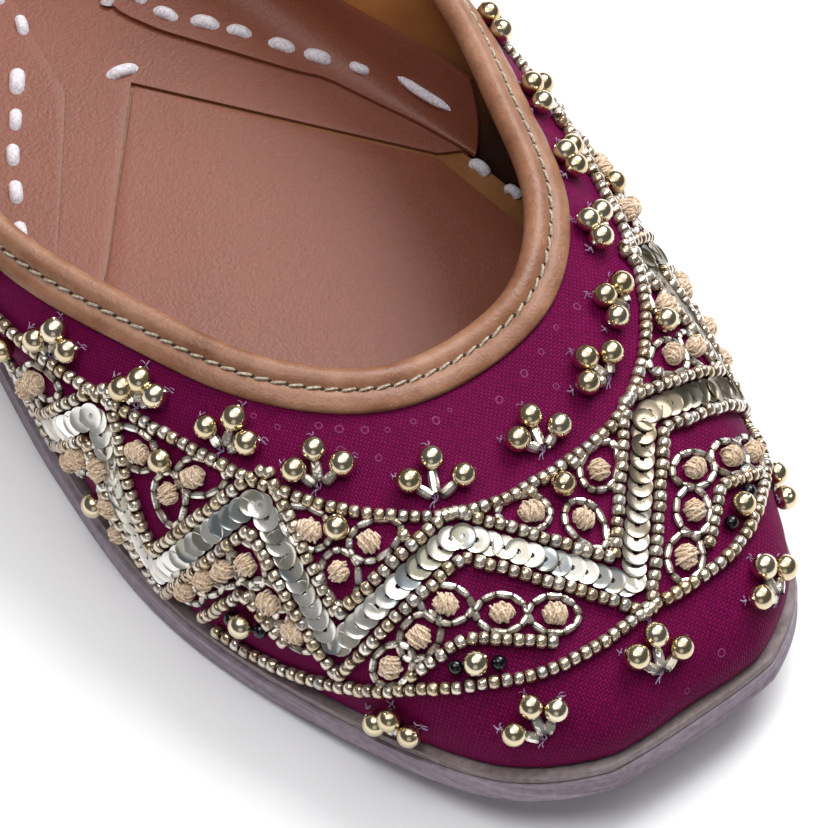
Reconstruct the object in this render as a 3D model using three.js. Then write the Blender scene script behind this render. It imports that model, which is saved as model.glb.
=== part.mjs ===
// A mojari: a flat hand-made slip-on shoe with a squared toe and an open top.
// Millimetres. The toe points to -Y, the heel to +Y, and the floor is z = 0.
// Five pieces: leather outsole, raw-edged midsole, insole, one hollow upper, and
// the leather binding folded over the upper's topline.
import * as THREE from 'three';

// Driving dimensions.
const LENGTH = 250;
const BALL_HALF = 42.3;
const THROAT_HEIGHT = 34;
const BACK_HEIGHT = 53.5;
const WALL = 1.5;
const OUTSOLE_THICK = 3.0;
const MIDSOLE_THICK = 1.1;
const INSOLE_THICK = 1.5;
const GAP = 0.3;
const LEDGE = 1.8;
const MIDSOLE_INSET = 0.5;
const TOE_SPRING = 8;
const SPRING_LENGTH = 60;

// The binding: soft leather, wrapped over the wall's upper edge.
const BINDING_THICK = 0.8;
const BINDING_DEPTH = 6.8;
const BINDING_INSIDE_DEPTH = 6.4;

// How finely the faceted surfaces are cut.
const AROUND = 96;
const DOWN = 11;
const END_CROWDING = 0.08;
const SOLE_STATIONS = 44;
const PROFILE_STEPS = 48;

// The outsole's half outline, toe to heel: along is a fraction of LENGTH from
// the toe, half a fraction of BALL_HALF from the centre line.
const OUTLINE = [
  { along: 0.0012, half: 0 },
  { along: 0.0006, half: 0.19 },
  { along: 0.004, half: 0.33 },
  { along: 0.035, half: 0.6 },
  { along: 0.126, half: 0.846 },
  { along: 0.232, half: 1 },
  { along: 0.336, half: 0.96 },
  { along: 0.472, half: 0.792 },
  { along: 0.608, half: 0.674 },
  { along: 0.76, half: 0.697 },
  { along: 0.896, half: 0.65 },
  { along: 0.98, half: 0.378 },
  { along: 1, half: 0 },
];

// The finished topline, throat to back: lift is the fraction of the way from
// THROAT_HEIGHT up to BACK_HEIGHT.
const TOPLINE = [
  { along: 0.219, half: 0, lift: 0 },
  { along: 0.226, half: 0.274, lift: 0.06 },
  { along: 0.261, half: 0.513, lift: 0.08 },
  { along: 0.324, half: 0.685, lift: 0.03 },
  { along: 0.416, half: 0.851, lift: 0 },
  { along: 0.568, half: 0.804, lift: 0.1 },
  { along: 0.72, half: 0.686, lift: 0.36 },
  { along: 0.86, half: 0.556, lift: 0.67 },
  { along: 0.94, half: 0.319, lift: 0.92 },
  { along: 0.964, half: 0, lift: 1 },
];

// How the wall leaves the sole and arrives at the topline, at stations around
// the shoe from the toe (0) to the heel (1): out and rise shape its foot, reach
// and drop its shoulder, all in millimetres.
const WALL_SHAPE = [
  { around: 0, out: 2.3, rise: 8.8, reach: 23, drop: 6 },
  { around: 0.13, out: 2.6, rise: 9.8, reach: 15.5, drop: 7.2 },
  { around: 0.3, out: 3, rise: 12.6, reach: 7, drop: 7.5 },
  { around: 0.5, out: 3.9, rise: 14, reach: 3, drop: 9 },
  { around: 0.75, out: 3.8, rise: 16, reach: 2.5, drop: 11.5 },
  { around: 1, out: 2.9, rise: 17, reach: 1, drop: 15 },
];

// The sole's edge runs ahead of the topline along the sides by this much.
const LEAN = 0.07;

const SOLE_TOP = OUTSOLE_THICK + GAP + MIDSOLE_THICK;
const EDGE_DEPTH = WALL / 2 + GAP + BINDING_THICK;

// Height of the sole's underside above the floor, from the toe spring.
function springAt(y) {
  const ahead = SPRING_LENGTH - (y + LENGTH / 2);
  return ahead > 0 ? TOE_SPRING * (ahead / SPRING_LENGTH) ** 2 : 0;
}

// A smooth closed loop through a table's half outline and its mirror image.
function loopThrough(rows) {
  const right = rows.map((row) => new THREE.Vector3(
    row.half * BALL_HALF,
    (row.along - 0.5) * LENGTH,
    THREE.MathUtils.lerp(THROAT_HEIGHT, BACK_HEIGHT, row.lift ?? 0),
  ));
  const left = right.slice(1, -1).reverse().map((p) => new THREE.Vector3(-p.x, p.y, p.z));
  const loop = new THREE.CatmullRomCurve3([...right, ...left], true, 'centripetal');
  loop.arcLengthDivisions = 1200;
  return loop;
}

const OUTLINE_LOOP = loopThrough(OUTLINE);
const TOPLINE_LOOP = loopThrough(TOPLINE);

// A point and its outward plan normal, around = -1..1 from the heel by the left,
// the toe (0) and the right back to the heel. The left is the right's mirror.
function onLoop(loop, around) {
  const along = Math.abs(around) / 2;
  const point = loop.getPointAt(along);
  const tangent = loop.getTangentAt(along);
  const normal = new THREE.Vector3(tangent.y, -tangent.x, 0).normalize();
  if (around < 0) {
    point.x = -point.x;
    normal.x = -normal.x;
  }
  return { point, normal };
}

// One column of WALL_SHAPE at a station, eased between rows with level tangents
// at local extremes (a monotone cubic).
function wallShape(column, around) {
  const x = WALL_SHAPE.map((row) => row.around);
  const v = WALL_SHAPE.map((row) => row[column]);
  const slope = x.slice(1).map((_, i) => (v[i + 1] - v[i]) / (x[i + 1] - x[i]));
  const tangent = x.map((_, i) => {
    if (i === 0 || i === x.length - 1 || slope[i - 1] * slope[i] <= 0) return 0;
    const before = x[i] - x[i - 1];
    const after = x[i + 1] - x[i];
    const a = 2 * after + before;
    const b = after + 2 * before;
    return (a + b) / (a / slope[i - 1] + b / slope[i]);
  });
  const at = Math.min(Math.abs(around), 1);
  let i = 0;
  while (i < x.length - 2 && at > x[i + 1]) i += 1;
  const h = x[i + 1] - x[i];
  const s = (at - x[i]) / h;
  return (2 * s ** 3 - 3 * s ** 2 + 1) * v[i] + (s ** 3 - 2 * s ** 2 + s) * h * tangent[i]
    + (3 * s ** 2 - 2 * s ** 3) * v[i + 1] + (s ** 3 - s ** 2) * h * tangent[i + 1];
}

// The wall's outer profile at a station, topline first, as a dense polyline.
function wallProfile(around) {
  const foot = onLoop(OUTLINE_LOOP, around + LEAN * Math.sin(Math.PI * around));
  const top = onLoop(TOPLINE_LOOP, around);
  const start = foot.point.clone().addScaledVector(foot.normal, -LEDGE);
  start.z = springAt(foot.point.y) + SOLE_TOP + GAP;
  const belly = start.clone().addScaledVector(foot.normal, wallShape('out', around));
  belly.z += wallShape('rise', around);
  const shoulder = top.point.clone().addScaledVector(top.normal, wallShape('reach', around));
  shoulder.z -= wallShape('drop', around);
  const curve = new THREE.CubicBezierCurve3(top.point, shoulder, belly, start);
  return curve.getPoints(PROFILE_STEPS);
}

// The point a given depth below the topline, measured along the wall.
function alongProfile(profile, depth) {
  let left = depth;
  for (let i = 1; i < profile.length; i += 1) {
    const step = profile[i].distanceTo(profile[i - 1]);
    if (left <= step || i === profile.length - 1) {
      return profile[i - 1].clone().lerp(profile[i], left / step);
    }
    left -= step;
  }
  return profile[0].clone();
}

function profileLength(profile) {
  return profile.slice(1).reduce((sum, p, i) => sum + p.distanceTo(profile[i]), 0);
}

// Stations around the shoe, closer together at the toe and heel.
function stationsAround() {
  return Array.from({ length: AROUND }, (_, i) => {
    const s = -1 + (2 * i) / AROUND;
    return s - END_CROWDING * Math.sin(2 * Math.PI * s);
  });
}

// Points of the wall's outer surface with outward normals: one column of
// depths for each station. depthsOf gives a column's depths from its length.
function wallGrid(depthsOf) {
  const points = stationsAround().map((around) => {
    const profile = wallProfile(around);
    return depthsOf(profileLength(profile)).map((depth) => alongProfile(profile, depth));
  });
  const normals = points.map((column, i) => column.map((_, j) => {
    const ahead = points[(i + 1) % AROUND][j];
    const behind = points[(i + AROUND - 1) % AROUND][j];
    const lower = column[Math.min(j + 1, column.length - 1)];
    const upper = column[Math.max(j - 1, 0)];
    const side = ahead.clone().sub(behind);
    return lower.clone().sub(upper).cross(side).normalize();
  }));
  return { points, normals };
}

const shifted = (point, normal, distance) => point.clone().addScaledVector(normal, distance);

// A named mesh from rings of points, one closed section after another around
// the shoe. Its faces are turned outwards if they point in.
function meshOfFaces(name, points, faces, material) {
  let volume = 0;
  for (const [a, b, c] of faces) {
    volume += points[a].dot(points[b].clone().cross(points[c])) / 6;
  }
  const outward = volume > 0 ? faces : faces.map(([a, b, c]) => [a, c, b]);
  const geometry = new THREE.BufferGeometry();
  geometry.setAttribute('position', new THREE.Float32BufferAttribute(
    points.flatMap((p) => [p.x, p.y, p.z]), 3));
  geometry.setIndex(outward.flat());
  geometry.computeVertexNormals();
  const mesh = new THREE.Mesh(geometry, material);
  mesh.name = name;
  return mesh;
}

function ringOfSections(name, sections, material) {
  const across = sections[0].length;
  const faces = [];
  sections.forEach((_, i) => {
    const here = i * across;
    const next = ((i + 1) % sections.length) * across;
    for (let j = 0; j < across; j += 1) {
      const k = (j + 1) % across;
      faces.push([here + j, next + j, next + k], [here + j, next + k, here + k]);
    }
  });
  return meshOfFaces(name, sections.flat(), faces, material);
}

// A flat leather layer that follows the toe spring: the outline set in by
// inset, from low to high above the sole's underside.
function soleLayer(name, inset, low, high, material) {
  const right = Array.from({ length: SOLE_STATIONS + 1 }, (_, i) => {
    const s = i / SOLE_STATIONS;
    const { point, normal } = onLoop(OUTLINE_LOOP, s - END_CROWDING * Math.sin(2 * Math.PI * s));
    const p = shifted(point, normal, -inset);
    if (i === 0 || i === SOLE_STATIONS) p.x = 0;
    return p;
  });
  const left = right.slice(1, -1).map((p) => new THREE.Vector3(-p.x, p.y, p.z));
  const plan = [...right, ...left.reverse()];
  const count = plan.length;
  const mirrorOf = (i) => (count - i) % count;
  const levelled = (offset) => plan.map((p) => new THREE.Vector3(p.x, p.y, springAt(p.y) + offset));
  const points = [...levelled(low), ...levelled(high)];

  // The blunt front is one small cap, and the rest are strips across the foot.
  let front = 1;
  while (plan[front].y < plan[0].y + GAP) front += 1;
  const capRing = [];
  for (let i = -front; i <= front; i += 1) capRing.push((i + count) % count);
  const capPlan = capRing.map((i) => new THREE.Vector2(plan[i].x, plan[i].y));
  const cap = THREE.ShapeUtils.triangulateShape(capPlan, []).map((f) => f.map((i) => capRing[i]));
  const turned = cap.map(([a, b, c]) => {
    const area = (plan[b].x - plan[a].x) * (plan[c].y - plan[a].y)
      - (plan[c].x - plan[a].x) * (plan[b].y - plan[a].y);
    return area > 0 ? [a, b, c] : [a, c, b];
  });
  const sheet = [...turned];
  for (let i = front; i < SOLE_STATIONS; i += 1) {
    const [l, r, rNext, lNext] = [mirrorOf(i), i, i + 1, mirrorOf(i + 1)];
    sheet.push([l, r, rNext]);
    if (i + 1 < SOLE_STATIONS) sheet.push([l, rNext, lNext]);
  }
  const faces = sheet.map(([a, b, c]) => [a, c, b]);
  sheet.forEach((face) => faces.push(face.map((i) => i + count)));
  for (let i = 0; i < count; i += 1) {
    const j = (i + 1) % count;
    faces.push([i, j, j + count], [i, j + count, i + count]);
  }
  return meshOfFaces(name, points, faces, material);
}

// The hollow upper: one wall, open along the topline and underneath.
function makeUpper(material) {
  const grid = wallGrid((length) => Array.from({ length: DOWN + 1 },
    (_, j) => EDGE_DEPTH + ((length - EDGE_DEPTH) * j) / DOWN));
  const sections = grid.points.map((column, i) => {
    const inner = column.map((p, j) => shifted(p, grid.normals[i][j], -WALL)).reverse();
    return [...column, ...inner];
  });
  return ringOfSections('upper', sections, material);
}

// The binding: a folded strip that grips both faces of the wall's edge.
function makeBinding(material) {
  const depthsTo = (end, steps) => Array.from({ length: steps + 1 },
    (_, j) => EDGE_DEPTH + ((end - EDGE_DEPTH) * j) / steps);
  const foldAngles = [45, 90, 135].map(THREE.MathUtils.degToRad);
  const legs = wallGrid(() => depthsTo(BINDING_DEPTH, 3));
  const insides = wallGrid(() => depthsTo(BINDING_INSIDE_DEPTH, 2));
  const sections = legs.points.map((column, i) => {
    const edge = insides.points[i][0];
    const normal = insides.normals[i][0];
    const up = edge.clone().sub(insides.points[i][1]).normalize();
    const middle = shifted(edge, normal, -WALL / 2);
    const fold = (radius) => foldAngles.map((angle) => middle.clone()
      .addScaledVector(normal, radius * Math.cos(angle))
      .addScaledVector(up, radius * Math.sin(angle)));
    const skin = (clear) => [
      ...column.map((p, j) => shifted(p, legs.normals[i][j], clear)).reverse(),
      ...fold(WALL / 2 + clear),
      ...insides.points[i].map((p, j) => shifted(p, insides.normals[i][j], -WALL - clear)),
    ];
    return [...skin(GAP + BINDING_THICK), ...skin(GAP).reverse()];
  });
  return ringOfSections('topline_binding', sections, material);
}

function leather(color, roughness) {
  return new THREE.MeshStandardMaterial({ color, roughness, metalness: 0 });
}

const shoe = new THREE.Group();
shoe.name = 'mojari';
const midsoleFloor = OUTSOLE_THICK + GAP;
const insoleFloor = SOLE_TOP + GAP;
const insoleInset = LEDGE + WALL + GAP + 0.1;
shoe.add(soleLayer('outsole', 0, 0, OUTSOLE_THICK, leather('#7d707a', 0.8)));
shoe.add(soleLayer('midsole', MIDSOLE_INSET, midsoleFloor, SOLE_TOP, leather('#8a5c40', 0.85)));
shoe.add(soleLayer('insole', insoleInset, insoleFloor, insoleFloor + INSOLE_THICK,
  leather('#9d6d63', 0.6)));
shoe.add(makeUpper(leather('#711547', 0.85)));
shoe.add(makeBinding(leather('#b28e76', 0.5)));

export default shoe;
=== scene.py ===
import math
import random

import bpy
import numpy as np
from mathutils import Matrix, Vector
from mathutils.bvhtree import BVHTree


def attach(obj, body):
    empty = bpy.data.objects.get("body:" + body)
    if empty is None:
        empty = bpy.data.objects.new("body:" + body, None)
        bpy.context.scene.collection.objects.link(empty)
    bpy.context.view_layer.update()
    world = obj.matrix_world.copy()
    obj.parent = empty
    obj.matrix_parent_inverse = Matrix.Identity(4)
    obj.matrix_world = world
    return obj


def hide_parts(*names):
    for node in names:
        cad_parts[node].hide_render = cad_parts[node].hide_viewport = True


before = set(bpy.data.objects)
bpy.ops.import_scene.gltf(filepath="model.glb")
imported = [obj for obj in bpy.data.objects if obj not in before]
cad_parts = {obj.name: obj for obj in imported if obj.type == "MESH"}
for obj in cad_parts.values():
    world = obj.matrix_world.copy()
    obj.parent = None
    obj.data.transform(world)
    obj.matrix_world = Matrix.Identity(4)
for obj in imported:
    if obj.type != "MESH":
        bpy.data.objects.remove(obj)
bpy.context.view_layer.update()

# A mojari: a flat slip-on shoe of plum cloth with a leather binding, leather
# soles and hand-sewn beadwork. Sizes below are millimetres, made metres by MM.
MM = 0.001
CHANCE = random.Random(7)
RNG = np.random.default_rng(7)

# ---------------------------------------------------------------- the shoe's form

LENGTH = 250.0
BALL_HALF = 42.3
THROAT_HEIGHT = 34.0
BACK_HEIGHT = 53.5
WALL = 1.5
LEDGE = 1.8
SOLE_TOP = 4.4
GAP = 0.3
TOE_SPRING = 8.0
SPRING_LENGTH = 60.0
LEAN = 0.07
EDGE_DEPTH = 1.85

# Half outline of the sole, toe to heel: fraction of length, fraction of half width.
OUTLINE = (
    (0.0012, 0), (0.0006, 0.19), (0.004, 0.33), (0.035, 0.6), (0.126, 0.846),
    (0.232, 1), (0.336, 0.96), (0.472, 0.792), (0.608, 0.674), (0.76, 0.697),
    (0.896, 0.65), (0.98, 0.378), (1, 0),
)

# Half topline, throat to back, with the lift from throat height to back height.
TOPLINE = (
    (0.219, 0, 0), (0.226, 0.274, 0.06), (0.261, 0.513, 0.08), (0.324, 0.685, 0.03),
    (0.416, 0.851, 0), (0.568, 0.804, 0.1), (0.72, 0.686, 0.36), (0.86, 0.556, 0.67),
    (0.94, 0.319, 0.92), (0.964, 0, 1),
)

# The wall's section at stations from toe to heel: around, foot out, foot rise,
# shoulder reach, shoulder drop.
WALL_SHAPE = np.array((
    (0, 2.3, 8.8, 23, 6), (0.13, 2.6, 9.8, 15.5, 7.2), (0.3, 3, 12.6, 7, 7.5),
    (0.5, 3.9, 14, 3, 9), (0.75, 3.8, 16, 2.5, 11.5), (1, 2.9, 17, 1, 15),
))


def run_lengths(points):
    """Distance run along a line of points, from nought at its start."""
    return np.concatenate([[0], np.cumsum(np.linalg.norm(np.diff(points, axis=0), axis=1))])


def read_off(stops, arc, line):
    """Points of a line at stops along it."""
    return np.column_stack([np.interp(stops, arc, line[:, k]) for k in range(3)])


def closed_loop(rows):
    """Dense points round a half table and its mirror image, with their arc fraction."""
    right = np.array([
        (half * BALL_HALF, (along - 0.5) * LENGTH,
         THROAT_HEIGHT + (BACK_HEIGHT - THROAT_HEIGHT) * (lift[0] if lift else 0))
        for along, half, *lift in rows
    ])
    knots = np.vstack([right, right[-2:0:-1] * (-1, 1, 1)])
    count = len(knots)
    s = np.linspace(0, 1, 80, endpoint=False)[:, None]
    dense = []
    for i in range(count):
        p0, p1, p2, p3 = (knots[(i + k) % count] for k in (-1, 0, 1, 2))
        t0, t1, t2 = (math.sqrt(np.linalg.norm(b - a)) for a, b in ((p0, p1), (p1, p2), (p2, p3)))
        start = t1 * ((p1 - p0) / t0 - (p2 - p0) / (t0 + t1) + (p2 - p1) / t1)
        end = t1 * ((p2 - p1) / t1 - (p3 - p1) / (t1 + t2) + (p3 - p2) / t2)
        dense.append((2 * s**3 - 3 * s**2 + 1) * p1 + (s**3 - 2 * s**2 + s) * start
                     + (3 * s**2 - 2 * s**3) * p2 + (s**3 - s**2) * end)
    points = np.vstack(dense + [dense[0][:1]])
    arc = run_lengths(points)
    return points, arc / arc[-1]


OUTLINE_LOOP = closed_loop(OUTLINE)
TOPLINE_LOOP = closed_loop(TOPLINE)


def on_loop(loop, around):
    """Points of a loop and their outward plan normals, around = -1..1 with the toe at 0."""
    points, arc = loop
    half = np.abs(around) / 2
    side = np.where(around < 0, -1.0, 1.0)

    def at(fraction):
        """The loop's points at fractions of its length."""
        return read_off(fraction % 1.0, arc, points)

    place = at(half)
    run = at(half + 0.0008) - at(half - 0.0008)
    normal = np.column_stack([run[:, 1], -run[:, 0], np.zeros(len(half))])
    normal /= np.linalg.norm(normal, axis=1)[:, None]
    place[:, 0] *= side
    normal[:, 0] *= side
    return place, normal


def spring_at(y):
    """Height of the sole's underside above the floor."""
    ahead = np.maximum(SPRING_LENGTH - (y + LENGTH / 2), 0)
    return TOE_SPRING * (ahead / SPRING_LENGTH) ** 2


def eased(x, v, at):
    """A table's column eased between its rows, level at local extremes."""
    slope = np.diff(v) / np.diff(x)
    tangent = np.zeros(len(x))
    for i in range(1, len(x) - 1):
        if slope[i - 1] * slope[i] > 0:
            a = 2 * (x[i + 1] - x[i]) + (x[i] - x[i - 1])
            b = (x[i + 1] - x[i]) + 2 * (x[i] - x[i - 1])
            tangent[i] = (a + b) / (a / slope[i - 1] + b / slope[i])
    i = np.clip(np.searchsorted(x, at, side="right") - 1, 0, len(x) - 2)
    h = x[i + 1] - x[i]
    s = (at - x[i]) / h
    return ((2 * s**3 - 3 * s**2 + 1) * v[i] + (s**3 - 2 * s**2 + s) * h * tangent[i]
            + (3 * s**2 - 2 * s**3) * v[i + 1] + (s**3 - s**2) * h * tangent[i + 1])


def profiles(around):
    """The wall's outer profile at each station, topline first, with the length down it."""
    around = (np.asarray(around, float) + 1) % 2 - 1
    foot, foot_out = on_loop(OUTLINE_LOOP, around + LEAN * np.sin(np.pi * around))
    top, top_out = on_loop(TOPLINE_LOOP, around)
    shape = [eased(WALL_SHAPE[:, 0], WALL_SHAPE[:, k], np.abs(around)) for k in range(1, 5)]
    start = foot - foot_out * LEDGE
    start[:, 2] = spring_at(foot[:, 1]) + SOLE_TOP + GAP
    belly = start + foot_out * shape[0][:, None]
    belly[:, 2] += shape[1]
    shoulder = top + top_out * shape[2][:, None]
    shoulder[:, 2] -= shape[3]
    t = np.linspace(0, 1, 49)[None, :, None]
    curve = ((1 - t)**3 * top[:, None] + 3 * (1 - t)**2 * t * shoulder[:, None]
             + 3 * (1 - t) * t**2 * belly[:, None] + t**3 * start[:, None])
    steps = np.linalg.norm(np.diff(curve, axis=1), axis=2)
    down = np.concatenate([np.zeros((len(around), 1)), np.cumsum(steps, axis=1)], axis=1)
    return curve, down


def skin(around, depth):
    """Points of the upper's outer surface at a station and a depth below the topline."""
    around, depth = np.broadcast_arrays(np.asarray(around, float), np.asarray(depth, float))
    curve, down = profiles(around.ravel())
    flat = depth.ravel()
    made = np.empty((len(flat), 3))
    for i in range(len(flat)):
        for k in range(3):
            made[i, k] = np.interp(flat[i], down[i], curve[i, :, k])
    return made.reshape(around.shape + (3,))


def wall_depth(around):
    """How far the wall runs from the topline to the sole at each station."""
    return profiles(np.atleast_1d(around))[1][:, -1]


def unit(v):
    """Rows scaled to length one."""
    return v / np.linalg.norm(v, axis=-1, keepdims=True)


def stations(count):
    """Even stations round the shoe, a little closer at toe and heel."""
    s = np.linspace(-1, 1, count + 1)
    return s - 0.08 * np.sin(2 * np.pi * s)


def grid_normals(points):
    """Outward normals of a grid of points laid round the shoe (columns) and down (rows)."""
    across = np.roll(points[:-1], -1, axis=0) - np.roll(points[:-1], 1, axis=0)
    across = np.concatenate([across, across[:1]])
    down = np.gradient(points, axis=1)
    return unit(np.cross(down, across))


# ---------------------------------------------------------------- modelling helpers


def nothing_selected():
    """Leaves edit mode and deselects everything."""
    if bpy.context.object and bpy.context.object.mode != "OBJECT":
        bpy.ops.object.mode_set(mode="OBJECT")
    bpy.ops.object.select_all(action="DESELECT")


def newly(name):
    """The primitive just added, under its own name."""
    made = bpy.context.object
    made.name = name
    made.data.name = name
    return made


def only(piece):
    """Selects one piece and makes it active."""
    nothing_selected()
    piece.select_set(True)
    bpy.context.view_layer.objects.active = piece


def moved_to(piece, points):
    """Moves a piece's vertices to points given in millimetres."""
    piece.data.vertices.foreach_set("co", (np.asarray(points).reshape(-1, 3) * MM).ravel())
    piece.data.update()


def sheet_of(name, points):
    """A grid primitive whose vertices are moved to a grid of points."""
    nothing_selected()
    rows, columns = points.shape[:2]
    bpy.ops.mesh.primitive_grid_add(x_subdivisions=columns - 1, y_subdivisions=rows - 1, size=2)
    piece = newly(name)
    moved_to(piece, points)
    return piece


def edited(piece, step, **settings):
    """Runs one edit-mode operator on the whole of a piece."""
    only(piece)
    bpy.ops.object.mode_set(mode="EDIT")
    bpy.ops.mesh.select_all(action="SELECT")
    step(**settings)
    bpy.ops.object.mode_set(mode="OBJECT")


def mended(piece, reach=0.004):
    """Merges vertices that meet and turns the faces outwards."""
    edited(piece, bpy.ops.mesh.remove_doubles, threshold=reach * MM)
    edited(piece, bpy.ops.mesh.normals_make_consistent, inside=False)


def applied(piece, kind, **settings):
    """Adds a modifier, sets it and applies it."""
    only(piece)
    modifier = piece.modifiers.new(kind.title(), kind)
    for key, value in settings.items():
        setattr(modifier, key, value)
    bpy.ops.object.modifier_apply(modifier=modifier.name)


def smoothed(piece, angle=50):
    """Smooth shading with creases kept where faces turn sharply."""
    only(piece)
    bpy.ops.object.shade_smooth_by_angle(angle=math.radians(angle))


def done(piece, material, stands_for=()):
    """Gives a piece its finish and rides it on the shoe."""
    piece.data.materials.clear()
    piece.data.materials.append(material)
    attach(piece, "root")
    if stands_for:
        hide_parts(*stands_for)
    return piece


def master_shape(piece):
    """Takes a modelled master's vertices, in millimetres, and faces, and removes it."""
    data = piece.data
    verts = np.empty(len(data.vertices) * 3)
    data.vertices.foreach_get("co", verts)
    faces = [tuple(face.vertices) for face in data.polygons]
    bpy.data.objects.remove(piece)
    return verts.reshape(-1, 3) / MM, faces


def copies(name, masters, places, angle=40):
    """One mesh with a master's copy at every place, each with its own tone."""
    at, along, up, size = places
    up = unit(up)
    along = unit(along - np.sum(along * up, axis=1)[:, None] * up)
    side = np.cross(up, along)
    tones = RNG.random(len(at))
    verts, faces, tone, rims = [], [], [], []
    count = 0
    for i in range(len(at)):
        shape, loops = masters[i % len(masters)]
        local = shape * size[i]
        verts.append(at[i] + local[:, :1] * along[i] + local[:, 1:2] * side[i] + local[:, 2:] * up[i])
        faces.extend(tuple(v + count for v in loop) for loop in loops)
        tone.append(np.full(len(shape), tones[i]))
        rims.append(np.abs(shape[:, 0]) / np.abs(shape[:, 0]).max())
        count += len(shape)
    mesh = bpy.data.meshes.new(name)
    mesh.from_pydata((np.vstack(verts) * MM).tolist(), [], faces)
    for name_of, values in (("tone", tone), ("rim", rims)):
        layer = mesh.attributes.new(name_of, "FLOAT", "POINT")
        layer.data.foreach_set("value", np.concatenate(values))
    piece = bpy.data.objects.new(name, mesh)
    bpy.context.collection.objects.link(piece)
    smoothed(piece, angle)
    return piece


# ---------------------------------------------------------------- materials


def tint(code):
    """An sRGB hex colour as linear RGBA."""
    parts = [int(code[i:i + 2], 16) / 255 for i in (1, 3, 5)]
    linear = [c / 12.92 if c <= 0.04045 else ((c + 0.055) / 1.055) ** 2.4 for c in parts]
    return (*linear, 1.0)


def add(tree, kind, inputs=None, stops=(), **settings):
    """Adds a shader node with its settings and stops; inputs are values, nodes or sockets."""
    made = tree.nodes.new("ShaderNode" + kind)
    for key, value in settings.items():
        setattr(made, key, value)
    for socket, source in (inputs or {}).items():
        if isinstance(source, bpy.types.Node):
            tree.links.new(source.outputs[0], made.inputs[socket])
        elif isinstance(source, bpy.types.NodeSocket):
            tree.links.new(source, made.inputs[socket])
        else:
            made.inputs[socket].default_value = source
    for i, (place, code) in enumerate(stops):
        if i == len(made.color_ramp.elements):
            made.color_ramp.elements.new(place)
        made.color_ramp.elements[i].position = place
        made.color_ramp.elements[i].color = tint(code)
    return made


def new_finish(name, **values):
    """A material with its shader's constant values set; returns it and its node tree."""
    material = bpy.data.materials.new(name)
    material.use_nodes = True
    shader = material.node_tree.nodes["Principled BSDF"]
    for socket, value in values.items():
        shader.inputs[socket.replace("_", " ")].default_value = value
    return material, material.node_tree


def linked(material, colour, bump=None, gloss=None):
    """Links a finish's colour, relief and varying roughness to its shader."""
    links = material.node_tree.links
    shader = material.node_tree.nodes["Principled BSDF"]
    links.new(colour, shader.inputs["Base Color"])
    if bump:
        links.new(bump.outputs[0], shader.inputs["Normal"])
    if gloss:
        links.new(gloss.outputs[0], shader.inputs["Roughness"])
    return material


def woven_cloth():
    """Plum plain weave, 0.4 mm threads: a fine check of ribs with a slight shot sheen, and painted shade in
    the gaps between yarns.
    """
    material, tree = new_finish(
        "plain woven silk blend", Roughness=0.62, Sheen_Weight=0.05, Sheen_Roughness=0.4,
        Sheen_Tint=tint("#c8308c"), Specular_IOR_Level=0.07)
    cut = add(tree, "UVMap", uv_map="cut")
    thread = 1 / (0.4 * MM)
    grid = add(tree, "VectorMath", {0: cut, 1: (thread, thread, thread)}, operation="MULTIPLY")
    wander = add(tree, "TexNoise", {"Vector": cut, "Scale": 160.0, "Detail": 2.0})
    bend = add(tree, "VectorMath", {0: wander.outputs["Color"], 1: (0.5, 0.5, 0.5)}, operation="SUBTRACT")
    bent = add(tree, "VectorMath", {0: bend, 1: (1.1, 1.1, 0), 2: grid}, operation="MULTIPLY_ADD")
    parts = add(tree, "SeparateXYZ", {0: bent})
    a, b = parts.outputs[0], parts.outputs[1]
    column = add(tree, "Math", {0: a}, operation="FLOOR")
    row = add(tree, "Math", {0: b}, operation="FLOOR")
    heights = []
    for here, other, index, sign in ((a, b, column, 0.42), (b, a, row, -0.42)):
        turn = add(tree, "Math", {0: here, 1: math.pi}, operation="MULTIPLY")
        wave = add(tree, "Math", {0: turn}, operation="SINE")
        rib = add(tree, "Math", {0: wave}, operation="ABSOLUTE")
        shift = add(tree, "Math", {0: other, 1: index}, operation="ADD")
        phase = add(tree, "Math", {0: shift, 1: math.pi}, operation="MULTIPLY")
        weave = add(tree, "Math", {0: phase}, operation="SINE")
        rise = add(tree, "Math", {0: weave, 1: sign, 2: 0.58}, operation="MULTIPLY_ADD")
        heights.append(add(tree, "Math", {0: rib, 1: rise}, operation="MULTIPLY"))
    warp, weft = heights
    height = add(tree, "Math", {0: warp, 1: weft}, operation="MAXIMUM")
    over = add(tree, "Math", {0: warp, 1: weft}, operation="GREATER_THAN")
    which = add(tree, "CombineXYZ", {0: column, 1: row})
    slub = add(tree, "TexWhiteNoise", {"Vector": which}, noise_dimensions="2D")
    cloud = add(tree, "TexNoise", {"Vector": cut, "Scale": 45.0, "Detail": 3.0})
    base = add(tree, "Mix", {0: over, 6: tint("#68023c"), 7: tint("#850454")}, data_type="RGBA")
    # Painted shade: the colour darkens toward #460526 where the weave sinks between yarns.
    lit = add(tree, "Mix", {0: height, 6: tint("#460526"), 7: base.outputs[2]}, data_type="RGBA")
    lift = add(tree, "Math", {0: slub.outputs[0], 1: 0.28, 2: 0.78}, operation="MULTIPLY_ADD")
    drift = add(tree, "Math", {0: cloud.outputs[0], 1: 0.3, 2: 0.88}, operation="MULTIPLY_ADD")
    level = add(tree, "Math", {0: lift, 1: drift}, operation="MULTIPLY")
    colour = add(tree, "VectorMath", {0: lit.outputs[2], 3: level}, operation="SCALE")
    bump = add(tree, "Bump", {"Height": height, "Strength": 0.8, "Distance": 0.1 * MM})
    return linked(material, colour.outputs[0], bump)


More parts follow.
